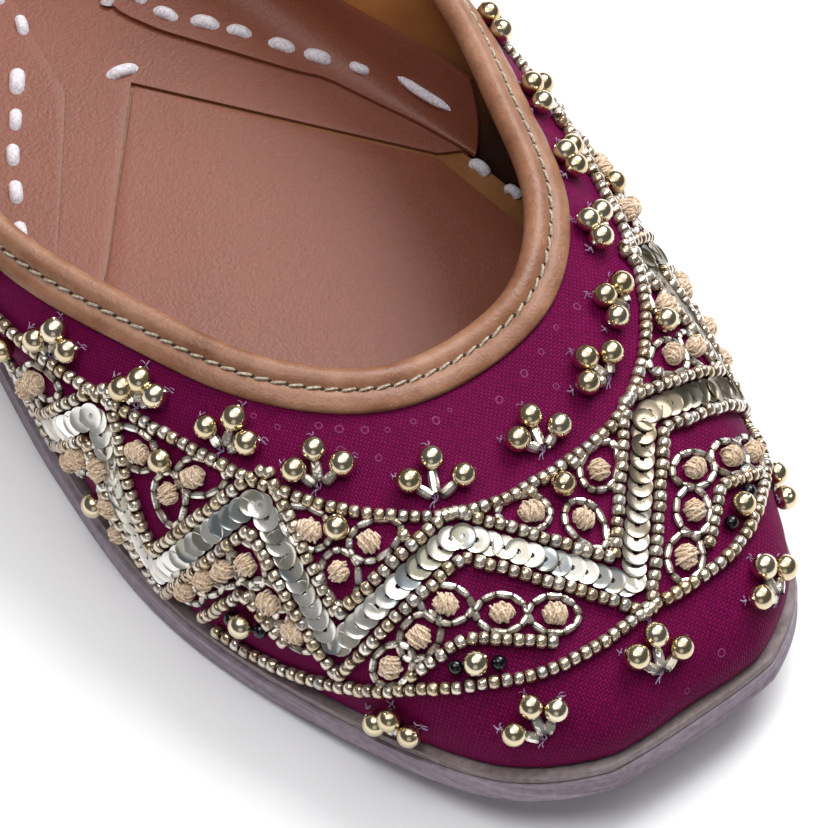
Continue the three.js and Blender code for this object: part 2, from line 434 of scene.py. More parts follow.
def leather_like(name, stops, grain, crease, roughness, patch=30.0, **values):
    """Tanned leather: clouded colour, pebbled grain and finer creases of given sizes."""
    material, tree = new_finish(name, **values)
    where = add(tree, "TexCoord").outputs["Object"]
    cloud = add(tree, "TexNoise", {"Vector": where, "Scale": patch, "Detail": 5.0, "Roughness": 0.6})
    colour = add(tree, "ValToRGB", {0: cloud.outputs[0]}, stops)
    pebble = add(tree, "TexVoronoi", {"Vector": where, "Scale": 1 / (grain * MM)}, feature="SMOOTH_F1")
    fold = add(tree, "TexNoise", {"Vector": where, "Scale": 1 / (crease * MM), "Detail": 4.0,
                                  "Distortion": 1.4})
    both = add(tree, "Math", {0: pebble.outputs[0], 1: -0.5, 2: fold.outputs[0]}, operation="MULTIPLY_ADD")
    # The colour is scaled by the crease noise: darker where it is low, lighter where it is high; worn holds
    # that scaled colour.
    crease_darkening = add(tree, "Math", {0: fold.outputs[0], 1: 0.35, 2: 0.82}, operation="MULTIPLY_ADD")
    worn = add(tree, "VectorMath", {0: colour, 3: crease_darkening}, operation="SCALE")
    gloss = add(tree, "Math", {0: cloud.outputs[0], 1: 0.24, 2: roughness - 0.12}, operation="MULTIPLY_ADD")
    bump = add(tree, "Bump", {"Height": both, "Strength": 0.6, "Distance": 0.12 * MM})
    return linked(material, worn.outputs[0], bump, gloss)


def lining_leather():
    """Golden lining at the quarters, going over to painted shade, a near-black brown, toward the toe inside
    the vamp.
    """
    material, tree = new_finish("vegetable tanned lining leather", Specular_IOR_Level=0.3,
                                        Roughness=0.6)
    where = add(tree, "TexCoord").outputs["Object"]
    along = add(tree, "SeparateXYZ", {0: where}).outputs[1]
    cloud = add(tree, "TexNoise", {"Vector": where, "Scale": 90.0, "Detail": 4.0})
    tan = add(tree, "ValToRGB", {0: cloud.outputs[0]}, ((0.3, "#935a30"), (0.5, "#b0733e"), (0.7, "#c2884e")))
    # Painted shade: the lining turns near-black brown toward the toe, where the vamp shades its inside.
    vamp_shade = add(tree, "MapRange", {0: along, 1: -0.012, 2: -0.036, 3: 0.0, 4: 1.0})
    colour = add(tree, "Mix", {0: vamp_shade, 6: tan, 7: tint("#2c170c")}, data_type="RGBA")
    fold = add(tree, "TexNoise", {"Vector": where, "Scale": 700.0, "Detail": 3.0})
    bump = add(tree, "Bump", {"Height": fold.outputs[0], "Strength": 0.5, "Distance": 0.12 * MM})
    return linked(material, colour.outputs[2], bump)


def raw_edge(name, stops, roughness=0.85):
    """Cut vegetable-tanned leather: thin fibre layers that run round the edge."""
    material, tree = new_finish(name, Roughness=roughness, Specular_IOR_Level=0.25)
    where = add(tree, "TexCoord").outputs["Object"]
    flat = add(tree, "Mapping", {0: where, 3: (60, 60, 1500)})
    fibre = add(tree, "TexNoise", {"Vector": flat, "Scale": 1.0, "Detail": 6.0, "Roughness": 0.65})
    fleck = add(tree, "TexNoise", {"Vector": where, "Scale": 900.0, "Detail": 3.0})
    both = add(tree, "Math", {0: fleck.outputs[0], 1: 0.45, 2: fibre.outputs[0]}, operation="MULTIPLY_ADD")
    colour = add(tree, "ValToRGB", {0: both}, stops)
    bump = add(tree, "Bump", {"Height": both, "Strength": 0.8, "Distance": 0.22 * MM})
    return linked(material, colour.outputs[0], bump)


def toned(name, stops, **values):
    """A finish whose colour differs a little from bead to bead."""
    material, tree = new_finish(name, **values)
    tone = add(tree, "Attribute", attribute_name="tone")
    colour = add(tree, "ValToRGB", {0: tone.outputs["Fac"]}, stops)
    return linked(material, colour.outputs[0])


def lined_glass(name, stops, end, **values):
    """Clear glass over a silver lining: bright along the middle, with painted amber shade at the cut ends."""
    material, tree = new_finish(name, **values)
    tone = add(tree, "Attribute", attribute_name="tone")
    rim = add(tree, "Attribute", attribute_name="rim")
    colour = add(tree, "ValToRGB", {0: tone.outputs["Fac"]}, stops)
    # Painted shade: the colour goes toward the amber end colour at each bead's cut ends, where beads meet and
    # the hole shows.
    edge = add(tree, "MapRange", {0: rim.outputs["Fac"], 1: 0.45, 2: 0.95, 3: 0.0, 4: 0.9})
    end_shaded = add(tree, "Mix", {0: edge, 6: colour, 7: tint(end)}, data_type="RGBA")
    where = add(tree, "TexCoord").outputs["Object"]
    flaw = add(tree, "TexNoise", {"Vector": where, "Scale": 1300.0, "Detail": 1.0})
    bump = add(tree, "Bump", {"Height": flaw.outputs[0], "Strength": 0.6, "Distance": 0.22 * MM})
    return linked(material, end_shaded.outputs[2], bump)


def sequin_film():
    """Silvered film: each sequin its own tone, in drifts of grey and white, darkened to champagne at the
    right by painted shade.
    """
    material, tree = new_finish("silvered film sequin", Metallic=0.75, Roughness=0.24,
                                        Coat_Weight=0.4, Coat_Roughness=0.1)
    tone = add(tree, "Attribute", attribute_name="tone")
    where = add(tree, "TexCoord").outputs["Object"]
    drift = add(tree, "TexNoise", {"Vector": where, "Scale": 75.0, "Detail": 1.0})
    spread = add(tree, "MapRange", {0: drift.outputs[0], 1: 0.3, 2: 0.7})
    own = add(tree, "Math", {0: tone.outputs["Fac"], 1: 0.5}, operation="MULTIPLY")
    place = add(tree, "Math", {0: spread, 1: 0.5, 2: own}, operation="MULTIPLY_ADD")
    colour = add(tree, "ValToRGB", {0: place}, (
        (0.1, "#7c7866"), (0.26, "#aaa592"), (0.36, "#8f969b"), (0.46, "#d9d5ca"), (0.6, "#f0ede6"),
        (0.7, "#b5b0a2"), (0.82, "#e6dfcf"), (0.95, "#fbfaf7")))
    across = add(tree, "SeparateXYZ", {0: where}).outputs[0]
    # Painted shade: sequins on the right (+x) are multiplied down to a grey champagne.
    right_shade = add(tree, "MapRange", {0: across, 1: -0.012, 2: 0.01, 3: 0.0, 4: 1.0})
    warm = add(tree, "Mix", {0: right_shade, 6: colour, 7: tint("#958a7b")}, data_type="RGBA", blend_type="MULTIPLY")
    return linked(material, warm.outputs[2])


def spun_thread(name, stops, strand, **values):
    """Soft twisted thread: fine fibres and a matt, slightly fuzzy face."""
    material, tree = new_finish(name, **values)
    where = add(tree, "TexCoord").outputs["Object"]
    fibre = add(tree, "TexNoise", {"Vector": where, "Scale": 1 / (strand * MM), "Detail": 3.0})
    # The ramp reads the same fibre noise as the relief, so its first stop falls in the hollows and its last
    # on the raised fibres.
    colour = add(tree, "ValToRGB", {0: fibre.outputs[0]}, stops)
    bump = add(tree, "Bump", {"Height": fibre.outputs[0], "Strength": 0.7, "Distance": 0.1 * MM})
    return linked(material, colour.outputs[0], bump)


# ---------------------------------------------------------------- upper, lining, binding

AROUND = stations(384)
CLOTH_TOP = 2.0
CLOTH_THICK = 0.9
LINING_THICK = 0.5


def upper_cloth():
    """The plum cloth of the upper, cut as one flat horseshoe and closed at the heel."""
    share = np.linspace(0, 1, 34)[None, :]
    total = wall_depth(AROUND)[:, None]
    depth = CLOTH_TOP + (total - CLOTH_TOP) * share
    points = skin(np.repeat(AROUND[:, None], 34, axis=1), depth)
    piece = sheet_of("upper_cloth", points)
    edited(piece, bpy.ops.uv.unwrap, method="CONFORMAL", margin=0)
    true_cut(piece, points)
    mended(piece)
    applied(piece, "SOLIDIFY", thickness=CLOTH_THICK * MM, offset=-1)
    smoothed(piece)
    return piece, points


def true_cut(piece, points):
    """Scales the flat cut to real size, in metres, and turns its threads along the shoe."""
    layer = piece.data.uv_layers[0]
    layer.name = "cut"
    count = len(layer.data)
    cut = np.empty(count * 2)
    layer.data.foreach_get("uv", cut)
    cut = cut.reshape(-1, 2)
    corner = np.empty(count, dtype=int)
    piece.data.loops.foreach_get("vertex_index", corner)
    flat = np.zeros((len(piece.data.vertices), 2))
    flat[corner] = cut
    flat = flat.reshape(points.shape[0], points.shape[1], 2)
    middle = points.shape[0] // 2
    real = np.linalg.norm(np.diff(points[middle], axis=0), axis=1).sum() * MM
    run = flat[middle, -1] - flat[middle, 0]
    scale = real / np.linalg.norm(run)
    turn = math.atan2(run[0], run[1])
    spin = np.array(((math.cos(turn), -math.sin(turn)), (math.sin(turn), math.cos(turn))))
    layer.data.foreach_set("uv", ((cut - flat[middle, 0]) @ spin.T * scale).ravel())


def upper_lining(points):
    """The thin golden-tan leather inside the upper."""
    normals = grid_normals(points)
    piece = sheet_of("upper_lining", points[:, 1:] - normals[:, 1:] * 1.0)
    mended(piece)
    applied(piece, "SOLIDIFY", thickness=LINING_THICK * MM, offset=-1)
    smoothed(piece)
    return piece


# The binding's section, outside to inside: distance out from the cloth and depth.
BINDING_OUTSIDE = (
    (0.05, 6.3), (0.55, 6.25), (0.82, 5.95), (0.93, 5.3), (0.97, 4.6), (0.9, 3.95),
    (0.62, 3.5), (0.5, 3.2), (0.64, 2.9), (0.98, 2.4),
)
BINDING_INSIDE = ((-2.5, 1.9), (-2.45, 3.0), (-2.35, 4.6), (-2.3, 5.9), (-2.0, 6.3), (-1.55, 6.3))


def binding_section():
    """Rings of points round the folded leather strip at every station."""
    rows = [skin(AROUND, depth) for depth in (EDGE_DEPTH, EDGE_DEPTH + 1)]
    rim = np.stack(rows, axis=1)
    rim_out = grid_normals(rim)[:, 0]
    up = unit(rim[:, 0] - rim[:, 1])
    ring = []
    for out, depth in BINDING_OUTSIDE:
        ring.append(skin(AROUND, depth) + rim_out * out)
    middle = rim[:, 0] - rim_out * WALL / 2
    for degrees in (22, 48, 74, 100, 126, 152):
        angle = math.radians(degrees)
        ring.append(middle + rim_out * 1.82 * math.cos(angle) + up * 1.82 * math.sin(angle))
    for out, depth in BINDING_INSIDE:
        ring.append(skin(AROUND, depth) + rim_out * out)
    ring.append(ring[0])
    return np.stack(ring, axis=1)


def topline_binding():
    """The leather strip folded over the topline, with a sunk line for its stitches."""
    points = binding_section()
    wave = 0.05 * np.sin(AROUND * 240) + 0.04 * np.sin(AROUND * 97 + 1)
    points[:, 2:6] += grid_normals(points)[:, 2:6] * wave[:, None, None]
    piece = sheet_of("binding_roll", points)
    mended(piece)
    smoothed(piece, 70)
    return piece


# ---------------------------------------------------------------- soles and insole


def half_width(inset):
    """The sole's half width as a function of y, set in from its edge."""
    around = np.linspace(0, 1, 400)
    place, out = on_loop(OUTLINE_LOOP, around)
    place = place - out * inset
    rise = np.maximum.accumulate(place[:, 1])
    return rise, np.maximum(place[:, 0], 0)


def sole_layer(name, inset, low, high, edge):
    """A leather layer of the sole: a sheet on the outline, given thickness and worn edges."""
    around = np.linspace(0, 1, 121)
    around = around - 0.08 * np.sin(2 * np.pi * around)
    place, out = on_loop(OUTLINE_LOOP, around)
    place = place - out * inset
    place[-1, 0] = 0
    front = int(np.argmax(place[:, 1] > place[0, 1] + 0.3))
    across = np.linspace(-1, 1, 15)[None, :]
    rows = place[front:]
    x = rows[:, :1] * across
    y = np.repeat(rows[:, 1:2], 15, axis=1)
    y[0] = place[0, 1] + (rows[0, 1] - place[0, 1]) * np.abs(across[0]) ** 3
    points = np.stack([x, y, spring_at(y) + high], axis=2)
    return layer_from(name, points, high - low, edge)


def layer_from(name, points, thickness, edge):
    """Thickens a sheet downwards and rounds its rim."""
    piece = sheet_of(name, points)
    mended(piece, 0.02)
    if sum(face.normal.z for face in piece.data.polygons) < 0:
        edited(piece, bpy.ops.mesh.flip_normals)
    applied(piece, "SOLIDIFY", thickness=thickness * MM, offset=-1)
    applied(piece, "BEVEL", width=edge * MM, segments=3, limit_method="ANGLE",
            angle_limit=math.radians(50))
    smoothed(piece, 40)
    return piece


# The insole board's top and margin, where its cover ends, and the leathers' thicknesses.
INSOLE_TOP = 6.2
INSOLE_MARGIN = 4.1
COVER_END = 243
SHEET = 0.55
COVER = 0.6
STRIP = 0.75

# Edges of the insole's leathers as x at a distance from the toe.
FRONT_LEFT = ((60, -60), (72, -34.5), (86, -33.6), (102.9, -17.6), (126, 4.2))
FRONT_RIGHT = ((60, 60), (70, 34.8), (78, 33.6), (91.9, 31.6), (126, 4.6))
NOTCH = ((89.6, -37), (92, -31.9), (102.9, -18.0), (127.0, 4.5), (101.0, 25.4), (92.6, 32.2), (90, 37.6))
NOTCH_APEX = 3
SIDE_LEFT = ((98, -40), (104, -26), (116.8, -15.4), (130.2, -4.6), (146, -1), (170, -1), (236, -1))
SIDE_RIGHT = ((96, 42), (100, 37), (114.8, 24.6), (131.7, 13.1), (137, 10.5), (150, 9), (236, 9))


def edge_at(table, distance):
    """An edge's x at each distance from the toe."""
    rows = np.array(table, float)
    return np.interp(distance, rows[:, 0], rows[:, 1])


def insole_front():
    """The thin leather sheet over the front of the insole, pointed at its back end."""
    distances = np.linspace(9, 126, 90)
    ys, halves = half_width(INSOLE_MARGIN)
    y = distances - LENGTH / 2
    half = np.interp(y, ys, halves)
    low = np.maximum(edge_at(FRONT_LEFT, distances), -half)
    high = np.minimum(edge_at(FRONT_RIGHT, distances), half)
    high = np.maximum(high, low + 0.02)
    share = np.linspace(0, 1, 13)[None, :]
    x = low[:, None] + (high - low)[:, None] * share
    yy = np.repeat(y[:, None], 13, axis=1)
    soft = 0.12 * np.sin(x * 0.31 + 1) * np.sin(yy * 0.23)
    z = spring_at(yy) + INSOLE_TOP + SHEET + soft * 0.4
    return layer_from("insole_front", np.stack([x, yy, z], axis=2), SHEET, 0.18)


def insole_back():
    """The cover behind the front sheet, with a notch that fits the sheet's point."""
    ys, halves = half_width(INSOLE_MARGIN)
    notch = np.array(NOTCH, float)
    arc = run_lengths(notch)
    apex = arc[NOTCH_APEX]
    stops = np.concatenate([np.linspace(0, apex, 40), np.linspace(apex, arc[-1], 41)[1:]])
    distance = np.interp(stops, arc, notch[:, 0])
    x = np.interp(stops, arc, notch[:, 1])
    first = np.clip(x / np.interp(distance - LENGTH / 2, ys, halves), -1, 1)
    last = np.linspace(-1, 1, len(stops))
    t = np.linspace(0, 1, 60)[None, :]
    y = (distance - LENGTH / 2)[:, None] * (1 - t) + (COVER_END - LENGTH / 2) * t
    share = first[:, None] * (1 - t) + last[:, None] * t
    half = np.interp(y.ravel(), ys, halves).reshape(y.shape)
    points = np.stack([share * half, y, spring_at(y) + INSOLE_TOP + COVER + 0.02], axis=2)
    return layer_from("insole_back", points, COVER, 0.2)


# The side strips: first and last station, the wall's thickness behind them, and how
# far up the wall they turn, by station.
STRIP_START = 0.328
STRIP_END = 0.9995
WALL_BEHIND = 2.3
BEND_TOP = 7.5
STRIP_CLIMB = ((0.3, 14.6), (0.35, 13.8), (0.41, 11), (0.6, 10), (1, 9))


def side_strip(name, side, table):
    """A leather strip laid along the insole's side that turns up against the wall."""
    around = np.linspace(STRIP_START, STRIP_END, 112)
    total = wall_depth(around)
    _, out = on_loop(OUTLINE_LOOP, side * (around + LEAN * np.sin(np.pi * around)))
    climb = np.interp(around, *np.array(STRIP_CLIMB).T)
    rise = BEND_TOP + (climb[:, None] - BEND_TOP) * np.linspace(0, 1, 6)[None, :]
    wall = skin(side * around[:, None], total[:, None] - rise) - out[:, None] * WALL_BEHIND
    corner = skin(side * around, total - 3.0) - out * WALL_BEHIND
    top = spring_at(corner[:, 1]) + INSOLE_TOP + COVER + STRIP
    corner[:, 2] = top
    bend_reach = np.interp(around, (STRIP_START, 0.36, 0.42), (0.4, 1.6, 5.0))
    foot = corner - out * bend_reach[:, None]
    foot[:, 2] = top
    t = np.linspace(0, 1, 11)[None, 1:-1, None]
    bend = (1 - t)**2 * foot[:, None] + 2 * (1 - t) * t * corner[:, None] + t**2 * wall[:, :1]
    edge = edge_at(table, foot[:, 1] + LENGTH / 2)
    edge = side * np.minimum(side * edge, side * foot[:, 0] - 0.05)
    share = np.linspace(0, 1, 12)[None, :]
    x = edge[:, None] * (1 - share) + foot[:, :1] * share
    y = np.repeat(foot[:, 1:2], 12, axis=1)
    flat = np.stack([x, y, np.repeat(top[:, None], 12, axis=1)], axis=2)
    return layer_from(name, np.concatenate([flat, bend, wall], axis=1), STRIP, 0.18)


# ---------------------------------------------------------------- laying things on the cloth


class Cloth:
    """The upper's outer surface, for laying rows and motifs on it."""

    def __init__(self, points):
        rows, columns = points.shape[:2]
        verts = [Vector(p) for p in points.reshape(-1, 3)]
        faces = [
            (i * columns + j, (i + 1) * columns + j, (i + 1) * columns + j + 1, i * columns + j + 1)
            for i in range(rows - 1) for j in range(columns - 1)
        ]
        self.tree = BVHTree.FromPolygons(verts, faces)
        self.middle = Vector((0, -20, 10))

    def settle(self, points):
        """The nearest places on the cloth, and its outward normals there."""
        places, normals = [], []
        for point in np.asarray(points, float).reshape(-1, 3):
            place, normal, _, _ = self.tree.find_nearest(Vector(point))
            if normal.dot(place - self.middle) < 0:
                normal = -normal
            places.append(place)
            normals.append(normal)
        return np.array(places), np.array(normals)

    def bearings(self, centre, towards):
        """A charted place on the cloth: its point, normal, way to another place, and side."""
        place, up = self.settle(skin(*centre)[None])
        ahead, _ = self.settle(skin(*towards)[None])
        up = up[0]
        run = ahead[0] - place[0]
        run = unit(run - np.dot(run, up) * up)
        return place[0], up, run, np.cross(up, run)

    def row(self, line, pitch):
        """Even stops along a line laid on the cloth: place, direction and normal."""
        line = np.asarray(line, float)
        lengths = run_lengths(line)
        fine = np.linspace(0, lengths[-1], max(int(lengths[-1] / 0.5), 8))
        dense, _ = self.settle(read_off(fine, lengths, line))
        arc = run_lengths(dense)
        count = max(int(round(arc[-1] / pitch)), 1)
        stops = (np.arange(count) + 0.5) * arc[-1] / count
        at, normal = self.settle(read_off(stops, arc, dense))
        run = read_off(stops + 0.6, arc, dense) - read_off(stops - 0.6, arc, dense)
        return at, unit(run), normal


def lifted(row, height, size=(1, 1, 1), jitter=0.0):
    """A row's stops raised off the cloth and shaken a little, ready for copies."""
    at, along, up = row
    shake = RNG.normal(0, jitter, (len(at), 3))
    lean = RNG.normal(0, jitter, (len(at), 3))
    sizes = np.tile(np.array(size, float), (len(at), 1)) * RNG.normal(1.04, 0.04, (len(at), 1))
    return at + up * height + shake, along + lean, up + lean[:, ::-1] * 0.7, sizes


def gathered(groups):
    """Several groups of places as one."""
    return tuple(np.concatenate([group[k] for group in groups]) for k in range(4))


# ---------------------------------------------------------------- charts of the embroidery

# Depth of the two border rows of seed beads below the topline, by station.
INNER_ROW = (
    (0, 22.3), (0.03, 22.3), (0.05, 21.7), (0.066, 20.6), (0.086, 19.6), (0.107, 18.5),
    (0.13, 17.2), (0.157, 15.9), (0.19, 15.4), (0.23, 14.8), (0.28, 14.2), (1, 14),
)
OUTER_ROW = (
    (0, 43.6), (0.024, 44.5), (0.05, 45), (0.075, 45), (0.098, 45.6), (0.135, 47.7),
    (0.162, 48.7), (0.188, 48.1), (0.206, 46.5),
)

# The zigzag's turns, from the centre valley back along one side.
ZIGZAG = (
    (0, 40.3), (0.05, 24.5), (0.129, 40.9), (0.131, 19.9), (0.235, 41.3), (0.234, 18.0),
    (0.318, 34.0), (0.378, 17.0), (0.445, 29.5), (0.505, 16.6),
)


def chart_line(table, side=1):
    """A charted row as points on the cloth, on one side of the shoe."""
    rows = np.array(table, float)
    around = np.linspace(rows[0, 0], rows[-1, 0], 400)
    depth = eased(rows[:, 0], rows[:, 1], around)
    return skin(side * around, depth)


def chord(a, b):
    """A straight line between two charted points."""
    ends = skin(np.array((a[0], b[0])), np.array((a[1], b[1])))
    share = np.linspace(0, 1, 40)[:, None]
    return ends[0] * (1 - share) + ends[1] * share


def zigzag_turns(side):
    """The zigzag's turning points on one side."""
    return [(side * around, depth) for around, depth in ZIGZAG]


def flanks(cloth, turns, away):
    """The zigzag's line moved sideways on the cloth, mitred at its turns."""
    corners, up = cloth.settle(skin(*np.array(turns).T))
    runs = unit(np.diff(corners, axis=0))
    made = []
    for i in range(len(corners)):
        before = runs[max(i - 1, 0)]
        after = runs[min(i, len(runs) - 1)]
        side_before = unit(np.cross(up[i], before))
        side_after = unit(np.cross(up[i], after))
        mitre = unit(side_before + side_after)
        made.append(corners[i] + mitre * away / max(float(np.dot(mitre, side_after)), 0.45))
    return np.array(made)


# Seed beads: size against the master bead, height off the cloth and spacing; then the
# flanks' distance from the zigzag's middle, and the sequins, knots and rings laid inside.
SEED_SIZE = (0.88, 1.0, 1.0)
SEED_LIFT = 0.74
SEED_PITCH = 1.5
FLANK = 2.75
SEQUIN_PITCH = 1.8
SEQUIN_LIFT = 0.62
KNOT_LIFT = 1.15
# Rings round the knots: reach ahead, reach behind, half width, number of cut beads.
CHAIN_RING = (3.5, 3.4, 2.5, 10)
LONE_RING = (4.6, 2.8, 2.5, 11)
RING_GIRTH = 1.12
RING_LIFT = 0.6


def seed_rows(cloth):
    """Every row of seed beads: two borders, the zigzag's flanks and the small chevrons."""
    borders = []
    inner = np.concatenate([chart_line(INNER_ROW, -1)[::-1], chart_line(INNER_ROW, 1)[1:]])
    outer = np.concatenate([chart_line(OUTER_ROW, -1)[::-1], chart_line(OUTER_ROW, 1)[1:]])
    for line in (inner, outer):
        borders.append(lifted(cloth.row(line, SEED_PITCH + 0.02), SEED_LIFT, SEED_SIZE, 0.06))
    zigzag = []
    for away in (-FLANK, FLANK):
        flank = flanks(cloth, zigzag_turns(-1)[::-1] + zigzag_turns(1)[1:], away)
        for start, end in zip(flank[:-1], flank[1:]):
            share = np.linspace(0, 1, 30)[:, None]
            line = start * (1 - share) + end * share
            zigzag.append(lifted(cloth.row(line, SEED_PITCH), SEED_LIFT, SEED_SIZE, 0.07))
    chevrons = []
    for path in CHEVRONS:
        for start, end in zip(path[:-1], path[1:]):
            line = chord(start, end)
            chevrons.append(lifted(cloth.row(line, SEED_PITCH), SEED_LIFT, SEED_SIZE, 0.06))
    return gathered(borders), gathered(zigzag), gathered(chevrons)


def both_sides(*groups):
    """Groups of paths charted on the right, each group after its mirror on the left."""
    made = []
    for group in groups:
        made += [tuple((-around, depth) for around, depth in path) for path in group]
        made += group
    return tuple(made)


def paired(*points):
    """Single points charted on the right, each after its mirror on the left."""
    return tuple((side * around, depth) for around, depth in points for side in (-1, 1))


# Inside the zigzag: knots ringed with cut beads, in chains. Each chain lists the
# stations and depths of its knots; a lone knot has a pointed ring.
CHAINS = (
    ((-0.104, 42.2), (-0.083, 37.6), (-0.066, 33.4), (-0.050, 36.1), (-0.034, 38.6)),
    ((0.026, 41.3), (0.040, 37.7), (0.051, 34.2), (0.070, 38.0), (0.087, 41.6)),
) + both_sides(
    (((0.213, 40.4), (0.194, 36.8), (0.176, 33.7), (0.157, 31.1), (0.155, 36.4), (0.149, 40.2)),),
    (((0.285, 31.5), (0.268, 28.0), (0.248, 27.0), (0.254, 33.2), (0.256, 37.8)),),
    (((0.422, 26.0), (0.397, 24.0), (0.372, 25.0), (0.352, 28.5)),),
)
LONE_KNOTS = (
    ((-0.020, 25.4), (-0.040, 22.9)), ((-0.001, 29.6), (-0.001, 34.5)), ((0.019, 25.6), (0.038, 22.9)),
    ((-0.083, 24.0), (-0.064, 21.6)), ((-0.104, 28.5), (-0.110, 33.5)), ((-0.109, 22.9), (-0.122, 20.4)),
    ((0.083, 24.6), (0.064, 21.8)), ((0.104, 28.7), (0.110, 33.5)), ((0.109, 22.9), (0.122, 20.4)),
) + both_sides(
    (((0.168, 20.0), (0.145, 18.2)), ((0.193, 24.6), (0.202, 30)), ((0.207, 20.4), (0.226, 18.6))),
    (((0.285, 19.6), (0.262, 17.8)), ((0.308, 24.5), (0.312, 29)), ((0.335, 18.6), (0.355, 17.2))),
    (((0.445, 21.5), (0.445, 25.5)),),
)
# Small inverted chevrons of seed beads under the chains.
CHEVRONS = (
    ((-0.100, 43.9), (-0.066, 38.4), (-0.038, 42.1)),
    ((0.036, 42.4), (0.056, 38.6), (0.084, 43.9)),
) + both_sides((((0.211, 45.0), (0.171, 36.6), (0.160, 43.4)),))

# Single beads among the motifs.
GOLD_AMONG = (
    (0.0, 24.5), *paired((0.095, 22.2), (0.188, 19.6)), (-0.068, 42.0), (0.058, 42.3),
    *paired((0.181, 41.9), (0.27, 35.5), (0.31, 18.6), (0.385, 28.5)),
)
BLACK_AMONG = (
    (-0.076, 42.2), (-0.060, 42.4), (0.050, 42.5), (0.067, 42.6), (-0.189, 42.2), (-0.172, 42.2),
    (0.189, 42.2), (0.172, 42.2),
)
SPARE_SEEDS = ((-0.068, 23.4), (0.068, 23.4), (0.012, 22.9), (-0.015, 23.2))

BALL_RADIUS = 1.7
BALL_LIFT = 1.62
STEM_GIRTH = 1.62
# A trio's three stems: each one's turn from the trio's lean, and its reach.
FAN = ((-0.87, 4.2), (0, 5.0), (0.87, 4.2))

# Trios of gold balls on bugle stems: the foot's station and depth, its lean in
# degrees and how far it spreads. The first table stands above the inner row, the second by the toe.
THROAT_TRIOS = (
    (-0.260, 13.4, -22, 0.74), (-0.199, 13.9, -28, 0.76), (-0.143, 14.5, -27, 0.88),
    (-0.096, 16.8, -17, 0.98), (-0.050, 19.5, -16, 1.04), (0.004, 19.5, -10, 0.96),
    (0.049, 18.3, 10, 0.86), (0.085, 16.6, 24, 0.8), (0.122, 12.6, 20, 0.72),
    (0.168, 11.6, 14, 0.72), (0.225, 12.4, 6, 0.85), (0.285, 12.4, 0, 0.9),
)
TOE_TRIOS = (
    (-0.122, 54.8, -6, 0.82), (-0.060, 53.9, -3, 1), (-0.009, 51.8, -13, 1.06), (0.052, 54.4, 6, 1),
    (0.115, 54.8, 0, 0.9), (-0.325, 12.6, -10, 0.85),
)
SIDE_TRIOS = ((0.345, (1,)),) + tuple((0.405 + 0.06 * k, (-1, 1)) for k in range(10))


# Faint chalk rings left from marking out, as station and depth.
CHALK_MARKS = (
    (-0.088, 8.0), (-0.078, 8.3), (-0.066, 8.5), (-0.056, 8.8), (-0.044, 8.4), (-0.034, 9.2), (-0.025, 8.6),
    (0.002, 10.5), (0.022, 9.6), (0.036, 9.0), (0.05, 8.4), (-0.11, 9.0), (-0.122, 8.2), (0.03, 13.6),
    (0.047, 12.2), (-0.064, 12.4), (-0.08, 11.2), (0.066, 9.5), (-0.001, 55.6), (0.018, 54.0),
)


# ---------------------------------------------------------------- bead shapes


SEED_RING = 0.53
SEED_WALL = 0.345


def torus_along_x(name, segments, sides, ring, wall):
    """A torus of a given ring radius and wall radius, its hole along x."""
    nothing_selected()
    bpy.ops.mesh.primitive_torus_add(
        major_segments=segments, minor_segments=sides, major_radius=ring * MM, minor_radius=wall * MM,
        rotation=(0, math.pi / 2, 0))
    piece = newly(name)
    bpy.ops.object.transform_apply(location=False, rotation=True, scale=False)
    return piece


def seed_bead():
    """A round glass seed bead, 1.75 mm across and 1.5 mm long, its hole along x."""
    piece = torus_along_x("seed_master", 12, 8, SEED_RING, SEED_WALL)
    for vert in piece.data.vertices:
        flat = math.hypot(vert.co.y, vert.co.z)
        across = (flat / MM - SEED_RING) / SEED_WALL
        along = vert.co.x / MM / SEED_WALL
        square = max(abs(across), abs(along)) ** -0.28
        grow = (SEED_RING + SEED_WALL * across * square) * MM / flat
        vert.co = (vert.co.x * square * 2.25, vert.co.y * grow, vert.co.z * grow)
    return master_shape(piece)


def round_bead(radius, segments=22, rings=14):
    """A round bead with a sunk hole at each end, its hole along z."""
    nothing_selected()
    bpy.ops.mesh.primitive_uv_sphere_add(segments=segments, ring_count=rings, radius=radius * MM)
    piece = newly("round_master")
    for vert in piece.data.vertices:
        flat = math.hypot(vert.co.x, vert.co.y)
        if flat < radius * MM * 0.08:
            vert.co.z *= 0.72
    return master_shape(piece)


def sequin():
    """A cupped sequin 3.5 mm across with a punched hole."""
    nothing_selected()
    bpy.ops.mesh.primitive_grid_add(x_subdivisions=4, y_subdivisions=18, size=1)
    piece = newly("sequin_master")
    points = []
    for i in range(19):
        angle = 2 * math.pi * i / 18
        for radius, height in ((0.36, 0), (0.75, 0.0), (1.2, 0.02), (1.6, 0.09), (1.75, 0.16)):
            points.append((radius * math.cos(angle), radius * math.sin(angle), height))
    moved_to(piece, points)
    mended(piece)
    applied(piece, "SOLIDIFY", thickness=0.07 * MM, offset=0)
    return master_shape(piece)


def cut_bead():
    """A short hollow bugle, one millimetre long along x, to be stretched to length."""
    piece = torus_along_x("bugle_master", 8, 4, 0.33, 0.13)
    reach = max(abs(vert.co.x) for vert in piece.data.vertices)
    for vert in piece.data.vertices:
        flat = math.hypot(vert.co.y, vert.co.z)
        if abs(vert.co.x) > reach * 0.5:
            vert.co.x = math.copysign(0.5 * MM, vert.co.x)
            grow = 0.40 * MM / flat
            vert.co.y *= grow
            vert.co.z *= grow
    return master_shape(piece)


